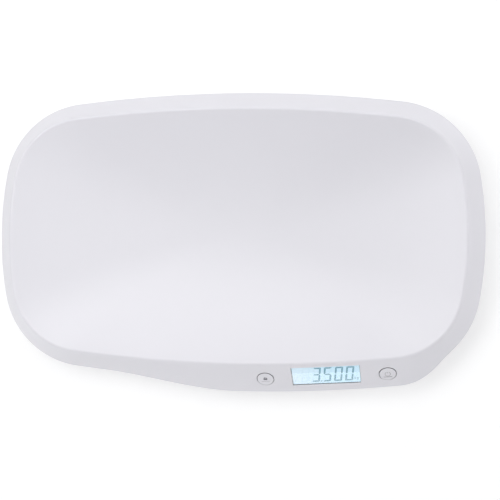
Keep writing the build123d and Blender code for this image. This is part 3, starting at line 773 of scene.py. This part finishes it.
class SCALE_OT_window(Operator):
    """Model the clear window, with its soft edges and the pocket for the display"""

    bl_idname = "scale.window"
    bl_label = "Window"

    def execute(self, context):
        flange = (WINDOW_FLANGE[0] - WINDOW_PLUG[0]) / 2
        wall = (WINDOW_PLUG[0] - DISPLAY_PLATE[0]) / 2 - 0.0002      # around the display's front plate
        back_wall = wall + 0.0008                                    # and around its narrower back
        profile = [(0, -WINDOW_SINK), (0, -FLANGE_FRONT), (flange, -FLANGE_FRONT),
                   (flange, -FLANGE_BACK), (-back_wall, -FLANGE_BACK),
                   (-back_wall, -DISPLAY_STEP - 0.0001), (-wall, -DISPLAY_STEP - 0.0001),
                   (-wall, -DISPLAY_FRONT + 0.00005)]
        window = block("display_window_clear", WINDOW_PLUG, profile)
        edit(window)
        pick(window, "EDGE", lambda edge: all(v.co.z > -WINDOW_SINK - 0.0001 for v in edge.verts))
        bpy.ops.mesh.bevel(offset=0.00015, segments=3, affect="EDGES")
        leave_edit()
        window.data.transform(PANEL)
        smooth(window)
        finished(window, "housing", clear_plastic(), "clear_window", "display_window")
        return {"FINISHED"}


class SCALE_OT_display(Operator):
    """Model the display: its glass, the lit face, the digits of 3.500 and the idle segments"""

    bl_idname = "scale.display"
    bl_label = "Display"

    # segments that are on: top, upper right, lower right, foot, lower left, upper left, middle
    SEGMENTS = {" ": "0000000", "3": "1111001", "5": "1011011", "0": "1111110"}
    FIRST_DIGIT = -0.0105          # middle of the 3, from the display's middle
    DIGIT_RISE = 0.0007
    # bars of the small marks: middle (x, y), length, width and angle in degrees
    POINT = [(-0.0043, -0.0092, 0.0016, 0.0016, 0)]
    LETTERS = [(0.0320, -0.0064, 0.0036, 0.0005, 90), (0.0327, -0.0066, 0.0016, 0.00045, 45),
               (0.0328, -0.0075, 0.0015, 0.00045, -50), (0.0352, -0.0060, 0.0017, 0.00045, 0),
               (0.0352, -0.0076, 0.0017, 0.00045, 0), (0.0345, -0.0068, 0.0016, 0.0005, 90),
               (0.0359, -0.0073, 0.0030, 0.0005, 90), (0.0352, -0.0089, 0.0017, 0.00045, 0)]
    BATTERY = [(-0.0316, -0.0068, 0.0040, 0.0004, 0), (-0.0316, -0.0086, 0.0040, 0.0004, 0),
               (-0.0334, -0.0077, 0.0018, 0.0004, 90), (-0.0298, -0.0077, 0.0018, 0.0004, 90),
               (-0.0293, -0.0077, 0.0008, 0.0005, 90), (-0.0327, -0.0077, 0.0011, 0.0005, 90),
               (-0.0318, -0.0077, 0.0011, 0.0005, 90)]

    def execute(self, context):
        sizes, colours = context.scene.scale_sizes, context.scene.scale_colours
        self.make_glass(colours)
        lean = Matrix.Identity(4)
        lean[0][1] = tan(sizes.slant)
        face = PANEL @ Matrix.Translation((0, 0, -DISPLAY_FRONT)) @ lean
        on, off = self.make_digits(sizes, face)
        on += self.make_marks(self.POINT + self.LETTERS, sizes.print_height, face)
        off += self.make_marks(self.BATTERY, sizes.print_height, face)
        self.lay(on, "display_digits", segment_finish("display_ink", colours.digit))
        self.lay(off, "display_idle_segments",
                 lit_face("display_idle", colours.idle, colours.idle_pale))
        return {"FINISHED"}

    def make_glass(self, colours):
        """The display's glass: a wide front plate with a lit face, on a narrower back plate."""
        wider = (DISPLAY_PLATE[0] - DISPLAY[0]) / 2
        glass = block("display_glass", DISPLAY, [(0, -DISPLAY_BACK), (0, -DISPLAY_STEP),
                                                 (wider, -DISPLAY_STEP), (wider, -DISPLAY_FRONT)])
        edit(glass)
        pick(glass, "VERT", lambda vertex: abs(vertex.co.x) > DISPLAY[0] / 2 + 0.0001)
        bpy.ops.transform.translate(value=(DISPLAY_SHIFT, DISPLAY_SHIFT, 0))
        pick(glass, "EDGE", lambda edge: all(v.co.z > -DISPLAY_FRONT - 0.0001 for v in edge.verts))
        bpy.ops.mesh.bevel(offset=0.0001, segments=1, affect="EDGES")
        leave_edit()
        glass.data.transform(PANEL)
        edge = Finish("display_edge", **{"Base Color": shown(150, 176, 182), "IOR": 1.52})
        edge.feed(Roughness=0.15 + edge.noise(300.0) * 0.1)
        finished(glass, "housing", edge.material, "lcd_cyan", "display_panel")
        glass.data.materials.append(lit_face("display_lit", colours.backlight, colours.backlight_pale))
        front = PANEL.to_3x3() @ Vector((0, 0, 1))
        for polygon in glass.data.polygons:
            if polygon.normal.dot(front) > 0.9:
                polygon.material_index = 1

    def bar(self, name, low, high, cuts, height):
        """A flat bar between two corners. Each cut has a point and the direction that is cut off."""
        bar = add_primitive(bpy.ops.mesh.primitive_plane_add, name, size=1)
        edit(bar)
        size = [end - start for start, end in zip(low, high)]
        middle = [(start + end) / 2 for start, end in zip(low, high)]
        bpy.ops.transform.resize(value=(*size, 1), center_override=(0, 0, 0))
        bpy.ops.transform.translate(value=(*middle, 0))
        for point, outward in cuts:
            bpy.ops.mesh.select_all(action="SELECT")
            bpy.ops.mesh.bisect(plane_co=(*point, 0), plane_no=(*outward, 0), clear_outer=True)
        bpy.ops.mesh.select_all(action="SELECT")
        bpy.ops.mesh.extrude_region_move(TRANSFORM_OT_translate={"value": (0, 0, height)})
        leave_edit()
        return bar

    def make_digits(self, sizes, face):
        """A copy of one of three bars for every segment, split into those that are on and off."""
        x, y, stroke = sizes.digit_width / 2, sizes.digit_height / 2, sizes.stroke
        gap, round_off, height = 0.00013, 0.00045, sizes.print_height
        corner = (x - round_off, y - round_off)
        level = self.bar("level_bar", (-x, y - stroke), (x, y),
                         [((x - gap, y), (1, -1)), ((gap - x, y), (-1, -1)),
                          (corner, (1, 1)), ((-corner[0], corner[1]), (-1, 1))], height)
        tip = (x - stroke / 2, 0.0003)
        upright = self.bar("upright_bar", (x - stroke, 0), (x, y),
                           [((x, y - gap), (-1, 1)), (corner, (1, 1)), (tip, (1, -2)), (tip, (-1, -2))],
                           height)
        reach = x - stroke / 2 - 0.0002
        middle = self.bar("middle_bar", (-x, -stroke * 0.45), (x, stroke * 0.45),
                          [((side * reach, 0), (side, lean)) for side in (-1, 1) for lean in (-1, 1)],
                          height)
        bars = [(level, 1, 1), (upright, 1, 1), (upright, 1, -1), (level, 1, -1), (upright, -1, -1),
                (upright, -1, 1), (middle, 1, 1)]
        on, off = [], []
        for index, digit in enumerate(" 3500"):
            place = face @ Matrix.Translation((self.FIRST_DIGIT + (index - 1) * sizes.digit_pitch,
                                               self.DIGIT_RISE, 0))
            for lit, (bar, across, up) in zip(self.SEGMENTS[digit], bars):
                segment = copied(bar, "segment", place @ Matrix.Diagonal((across, up, 1, 1)))
                (on if lit == "1" else off).append(segment)
        for bar in (level, upright, middle):
            bpy.data.objects.remove(bar)
        return on, off

    def make_marks(self, bars, height, face):
        """Copies of a unit bar, one for each line of a small mark."""
        unit = self.bar("unit_bar", (-0.5, -0.5), (0.5, 0.5), [], height)
        marks = [copied(unit, "mark", face @ Matrix.Translation((x, y, 0))
                        @ Matrix.Rotation(radians(angle), 4, "Z") @ Matrix.Diagonal((length, width, 1, 1)))
                 for x, y, length, width, angle in bars]
        bpy.data.objects.remove(unit)
        return marks

    def lay(self, marks, name, material):
        """Join flat marks into one piece on the display's face."""
        piece = joined(name, marks)
        edit(piece)
        leave_edit(faces_out=True)
        finished(piece, "housing", material, "lcd_cyan")


class SCALE_OT_keys(Operator):
    """Model the two keys: crowned caps with their flanges and stems, and the printed signs"""

    bl_idname = "scale.keys"
    bl_label = "Keys"

    def execute(self, context):
        sizes, colours = context.scene.scale_sizes, context.scene.scale_colours
        white = moulded("key_gloss", colours.key, 0.28)
        # painted shade: grey on each key's side, in place of the shade in the groove around it
        grey = rubber("key_side_painted_shade", colours.key_side_shade, 0.6)
        ink = ink_finish("key_ink", colours.ink)
        paler = [level * 0.45 + 0.33 for level in colours.ink]
        soft_ink = ink_finish("key_ink_light", paler)
        for name, side in (("hold", -1), ("power", 1)):
            x, y = side * KEY_OFFSET, -KEY_LOWER
            self.make_cap(name, x, y, sizes, white, grey)
            signs = self.padlock() if name == "hold" else self.power_sign()
            for index, (sign, strong) in enumerate(signs):
                self.print_on(sign, f"{name}_sign_{index + 1}", x, y, sizes)
                finished(sign, f"{name}_key", ink if strong else soft_ink, "button_white")
        return {"FINISHED"}

    def make_cap(self, name, x, y, sizes, white, grey):
        """A turned cap with a shallow crown, whose top follows the bowed panel. Its side is painted grey
        as painted shade for the groove around the key.
        """
        edge, rounding = KEY_RADIUS, sizes.key_round
        stem, stem_end = KEY_STEM
        flange, under, over = KEY_FLANGE
        profile = [(stem, -stem_end), (stem, -under), (flange, -under), (flange, -over), (edge, -over),
                   (edge, sizes.key_rise - rounding)]
        for angle in (radians(30), radians(60)):
            profile.append((edge - rounding * (1 - cos(angle)),
                            sizes.key_rise - rounding * (1 - sin(angle))))
        profile += [(edge * share, self.crown(edge * share, sizes))
                    for share in (0.975, 0.92, 0.84, 0.74, 0.62, 0.48, 0.32, 0.15)]
        cap = turned(f"{name}_key_cap", profile)
        # the key's side faces, which get the grey painted shade
        skirt = [face.index for face in cap.data.polygons
                 if abs(face.normal.z) < 0.1 and abs(face.center.xy.length - edge) < 0.0001]
        lie_on_panel(cap, x, y, -0.002)
        smooth(cap)
        finished(cap, f"{name}_key", white, "button_white", f"{name}_button")
        cap.data.materials.append(grey)
        for index in skirt:
            cap.data.polygons[index].material_index = 1

    def crown(self, radius, sizes):
        """Height of a key's top over the panel's face."""
        return sizes.key_rise + sizes.key_crown * (1 - (radius / KEY_RADIUS) ** 2)

    def flat_ring(self, name, radius, width, gap=0.0):
        """A flat ring about the origin, open at its top by a half angle."""
        ring = add_primitive(bpy.ops.mesh.primitive_circle_add, name, vertices=64,
                             radius=radius)
        edit(ring)
        ratio = (radius - width) / radius
        draw_out((ratio, ratio, 1))
        if gap:
            pick(ring, "FACE", lambda face: face.calc_center_median().y > radius * cos(gap) * 0.95)
            bpy.ops.mesh.delete(type="FACE")
        leave_edit()
        return ring

    def flat_bar(self, name, x, y, length, width, rounding):
        """A flat bar with rounded corners, divided so that it can follow the crown."""
        columns, rows = [max(1, round(side / 0.0006)) for side in (length, width)]
        bar = add_primitive(bpy.ops.mesh.primitive_grid_add, name, x_subdivisions=columns,
                            y_subdivisions=rows, size=1)
        edit(bar)
        bpy.ops.transform.resize(value=(length, width, 1), center_override=(0, 0, 0))
        pick(bar, "VERT", lambda vertex: (abs(vertex.co.x) > 0.49 * length
                                          and abs(vertex.co.y) > 0.49 * width))
        bpy.ops.mesh.bevel(offset=rounding, segments=3, affect="VERTICES")
        bpy.ops.mesh.select_all(action="SELECT")
        bpy.ops.transform.translate(value=(x, y, 0))
        leave_edit()
        return bar

    def padlock(self):
        """Sign for holding the reading: a padlock over a line."""
        body = self.flat_bar("padlock_body", 0, 0.0004, 0.0042, 0.0026, 0.0004)
        shackle = self.flat_ring("padlock_shackle", 0.0015, 0.0005)
        edit(shackle)
        pick(shackle, "FACE", lambda face: face.calc_center_median().y < -0.0003)
        bpy.ops.mesh.delete(type="FACE")
        bpy.ops.mesh.select_all(action="SELECT")
        bpy.ops.transform.translate(value=(0, 0.0020, 0))
        leave_edit()
        line = self.flat_bar("padlock_line", 0, -0.0031, 0.0090, 0.0004, 0.00018)
        return [(joined("padlock", [body, shackle]), True), (line, False)]

    def power_sign(self):
        """Sign for on and off: an open ring with a stroke, over a line."""
        ring = self.flat_ring("power_ring", 0.0033, 0.0006, radians(30))
        stroke = self.flat_bar("power_stroke", 0, 0.0022, 0.0005, 0.0024, 0.0002)
        sign = joined("power_sign", [ring, stroke])
        edit(sign)
        bpy.ops.transform.translate(value=(0, 0.0003, 0))
        leave_edit()
        line = self.flat_bar("power_line", 0, -0.0040, 0.0094, 0.0006, 0.00025)
        return [(sign, False), (line, True)]

    def print_on(self, sign, name, x, y, sizes):
        """Give a flat sign its thickness and lay it on the key's crown."""
        sign.name = name
        sign.data.name = name
        apply_modifier(sign, "SOLIDIFY", thickness=sizes.print_height, offset=0.0)
        edit(sign)
        leave_edit(faces_out=True)
        for vertex in sign.data.vertices:
            vertex.co.z += 0.4 * sizes.print_height + self.crown(vertex.co.xy.length, sizes)
        lie_on_panel(sign, x, y)


class SCALE_OT_feet(Operator):
    """Model the ribbed foot pads, and finish the cups and the load cells"""

    bl_idname = "scale.feet"
    bl_label = "Feet"

    PAD_RADIUS = 0.016
    PAD_THICKNESS = 0.0032
    GROOVES = (0.0132, 0.0102, 0.0072, 0.0042)     # outer radii of the grooves between the ribs

    def execute(self, context):
        pad_rubber = rubber("pad_rubber", context.scene.scale_colours.rubber, 0.7)
        radius, thickness, hub = self.PAD_RADIUS, self.PAD_THICKNESS, 0.0005
        profile = [(hub, thickness), (radius - 0.0002, thickness), (radius, thickness - 0.0002),
                   (radius, 0.0009), (radius - 0.0007, 0.0001), (radius - 0.0009, 0.0)]
        for outer in self.GROOVES:
            profile += [(outer, 0.0), (outer - 0.0003, 0.0006), (outer - 0.0009, 0.0006),
                        (outer - 0.0012, 0.0)]
        profile.append((hub, 0.0))
        pad = turned("foot_pad", profile, 72)
        for name in FEET:
            low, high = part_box(f"foot_pad_{name}")
            middle = (low + high) / 2
            made = copied(pad, f"ribbed_pad_{name}", Matrix.Translation((middle.x, middle.y, 0)))
            smooth(made)
            finished(made, f"foot_{name}", pad_rubber, "pad_grey", f"foot_pad_{name}")
        bpy.data.objects.remove(pad)
        finish_slot("cup_white", moulded("cup_plastic", shown(214, 214, 218), 0.42, edge=0.0004))
        finish_slot("cell_steel", metal("load_cell_steel", shown(196, 196, 200), 0.34))
        return {"FINISHED"}


class SCALE_OT_fastenings(Operator):
    """Finish all the screws"""

    bl_idname = "scale.fastenings"
    bl_label = "Screws"

    def execute(self, context):
        zinc = metal("screw_zinc", shown(188, 188, 190), 0.3, (900.0, 900.0, 900.0))
        finish_slot("screw_steel", zinc)
        return {"FINISHED"}


class SCALE_OT_battery_bay(Operator):
    """Finish the battery door, the cells and their contacts"""

    bl_idname = "scale.battery_bay"
    bl_label = "Battery bay"

    def execute(self, context):
        colours = context.scene.scale_colours
        finish_slot("door_white", moulded("door_plastic", colours.door, 0.4, edge=0.0004))
        finish_slot("battery_jacket", battery_sleeve())
        finish_slot("contact_steel", metal("contact_nickel", shown(214, 212, 206), 0.18))
        return {"FINISHED"}


class SCALE_OT_electronics(Operator):
    """Finish the parts inside: the display's stack, the circuit board and the leads"""

    bl_idname = "scale.electronics"
    bl_label = "Electronics"

    def execute(self, context):
        finish_slot("black_foam", rubber("gasket_foam", shown(44, 44, 47), 0.9, 2600.0))
        finish_slot("milky_guide", moulded("light_guide", shown(228, 242, 246), 0.25, spread=0.01))
        finish_slot("holder_white", moulded("holder_plastic", shown(216, 216, 218), 0.5, edge=0.0003))
        finish_slot("grey_elastomer", rubber("contact_elastomer", shown(112, 112, 117), 0.8))
        finish_slot("board_green", circuit_board())
        finish_slot("chip_black", moulded("chip_epoxy", shown(40, 40, 43), 0.55, 5200.0, 0.25,
                                          edge=0.0002))
        finish_slot("connector_cream", moulded("connector_nylon", shown(234, 228, 208), 0.45,
                                               edge=0.0002))
        finish_slot("plunger_black", moulded("plunger_nylon", shown(42, 42, 44), 0.4, edge=0.0002))
        finish_slot("lead_black", rubber("lead_sleeve", shown(44, 44, 47), 0.5, 900.0))
        return {"FINISHED"}


class SCALE_OT_stage(Operator):
    """Make the floor, the surroundings, the lamps and the camera"""

    bl_idname = "scale.stage"
    bl_label = "Stage"

    # name, degrees round from the front, degrees above the floor, width and power in watts
    LAMPS = [("back_lamp_high", 180, 62, 1.1, 5.1), ("back_lamp_low", 180, 18, 1.0, 9.6),
             ("back_left_lamp", 225, 62, 1.1, 6.6), ("left_lamp", 270, 55, 1.1, 7.7),
             ("front_left_lamp", 315, 18, 1.0, 6.4), ("front_lamp", 0, 18, 1.0, 6.1),
             ("right_lamp", 90, 18, 1.0, 12.8), ("top_lamp", 90, 88, 1.1, 2.7)]
    LAMP_DISTANCE = 1.9            # of each of them, from the origin
    LOW_LAMP = 30                  # those up to this many degrees above the floor aren't mirrored
    FLOOR_GLOW = (0.3, 1.6)        # share and strength of the glow with which the floor looks white
    CARD_TO_BACK = (0.5, 1.25)     # the dark card: its level straight above, and how fast it fades back
    CARD_RISE = 1.5                # and how fast it grows from the horizon up
    CAMERA_PLACE = (0.1934757, -0.0116621, 1.241539)
    CAMERA_TURNS = [("Y", 0.1458), ("X", 0.0024), ("Z", 0.0095)]

    def execute(self, context):
        settings = context.scene.scale_stage
        self.make_floor(settings.floor_size)
        self.make_surroundings(context.scene, settings.sky_strength)
        for name, side, height, size, power in self.LAMPS:
            self.make_lamp(name, side, height, size, power * settings.lamp_level)
        self.make_camera(context.scene, settings.lens)
        context.scene.view_settings.view_transform = "Standard"
        return {"FINISHED"}

    def make_floor(self, size):
        """A white floor, clear from below. Its glow shows where it is looked at and lights nothing."""
        floor = add_primitive(bpy.ops.mesh.primitive_plane_add, "floor", size=size)
        finish = Finish("floor_white", **{"Base Color": (0.86, 0.86, 0.865), "Roughness": 0.9,
                                          "Specular IOR Level": 0.0})
        share, strength = self.FLOOR_GLOW
        camera, glossy, through = finish.rays()
        glow = finish.node("ShaderNodeEmission", {}, {"Color": (1, 1, 1), "Strength": strength})
        lit = finish.mixed(finish.clamped(camera + glossy + through) * share, finish.shader, glow)
        below = finish.node("ShaderNodeNewGeometry", {}, {}, "Backfacing")
        clear = finish.node("ShaderNodeBsdfTransparent", {}, {})
        finish.show(finish.mixed(below, lit, clear))
        floor.data.materials.append(finish.material)

    def make_surroundings(self, scene, strength):
        """White all round. In reflections it is dark above the front, as under a black studio card."""
        world = bpy.data.worlds.new("surroundings")
        scene.world = world
        sky = Nodes(world)
        camera, glossy, through = sky.rays()
        direction = sky.node("ShaderNodeTexCoord", {}, {}, "Generated")
        back, up = [sky.node("ShaderNodeSeparateXYZ", {}, {"Vector": direction}, axis) for axis in "YZ"]
        above, fade = self.CARD_TO_BACK
        card = sky.clamped(above - back * fade) * sky.clamped(up * self.CARD_RISE)
        white = sky.node("ShaderNodeBackground", {}, {"Color": (1, 1, 1), "Strength": 1 - glossy * card})
        light = sky.node("ShaderNodeBackground", {}, {"Color": (0.98, 0.985, 1.0), "Strength": strength})
        seen = sky.clamped(camera + glossy + through)
        sky.node("ShaderNodeOutputWorld", {}, {"Surface": sky.mixed(seen, light, white)}, None)

    def make_lamp(self, name, side, height, size, power):
        """A square soft lamp that faces the scale; side and height are in degrees.

        The low ones are kept out of reflections, where they would whiten the dish seen from low down.
        """
        turn, rise = radians(side), radians(height)
        outwards = Vector((sin(turn) * cos(rise), -cos(turn) * cos(rise), sin(rise)))
        place = outwards * self.LAMP_DISTANCE
        data = bpy.data.lights.new(name, "AREA")
        data.shape = "SQUARE"
        data.size = size
        data.energy = power
        lamp = bpy.data.objects.new(name, data)
        bpy.context.scene.collection.objects.link(lamp)
        lamp.location = place
        lamp.visible_glossy = height > self.LOW_LAMP
        lamp.rotation_mode = "QUATERNION"
        lamp.rotation_quaternion = (-place).to_track_quat("-Z", "Y")

    def make_camera(self, scene, lens):
        data = bpy.data.cameras.new("camera")
        data.sensor_width = 36
        data.lens = lens
        data.clip_start = 0.05
        data.clip_end = 60
        camera = bpy.data.objects.new("camera", data)
        scene.collection.objects.link(camera)
        place = Matrix.Translation(self.CAMERA_PLACE)
        for axis, angle in self.CAMERA_TURNS:
            place = place @ Matrix.Rotation(angle, 4, axis)
        camera.matrix_world = place
        scene.camera = camera


class SCALE_PT_build(Panel):
    """Lists the operators in the order in which they are run"""

    bl_idname = "SCALE_PT_build"
    bl_label = "Baby weighing scale"
    bl_space_type = "VIEW_3D"
    bl_region_type = "UI"
    bl_category = "Scale"

    def draw(self, context):
        for step in STEPS:
            self.layout.operator(step.bl_idname)
        for group in ("scale_sizes", "scale_colours", "scale_stage"):
            settings = getattr(context.scene, group)
            box = self.layout.box()
            for name in settings.__annotations__:
                box.prop(settings, name)


STEPS = [SCALE_OT_tray, SCALE_OT_base, SCALE_OT_window, SCALE_OT_display, SCALE_OT_keys, SCALE_OT_feet,
         SCALE_OT_fastenings, SCALE_OT_battery_bay, SCALE_OT_electronics, SCALE_OT_stage]
CLASSES = [ScaleSizes, ScaleColours, StageSettings, *STEPS, SCALE_PT_build]


def register():
    for part in CLASSES:
        bpy.utils.register_class(part)
    bpy.types.Scene.scale_sizes = PointerProperty(type=ScaleSizes)
    bpy.types.Scene.scale_colours = PointerProperty(type=ScaleColours)
    bpy.types.Scene.scale_stage = PointerProperty(type=StageSettings)


def unregister():
    del bpy.types.Scene.scale_sizes, bpy.types.Scene.scale_colours, bpy.types.Scene.scale_stage
    for part in reversed(CLASSES):
        bpy.utils.unregister_class(part)


def main():
    register()
    bpy.ops.scale.tray()
    bpy.ops.scale.base()
    bpy.ops.scale.window()
    bpy.ops.scale.display()
    bpy.ops.scale.keys()
    bpy.ops.scale.feet()
    bpy.ops.scale.fastenings()
    bpy.ops.scale.battery_bay()
    bpy.ops.scale.electronics()
    bpy.ops.scale.stage()


if __name__ == "__main__":
    main()
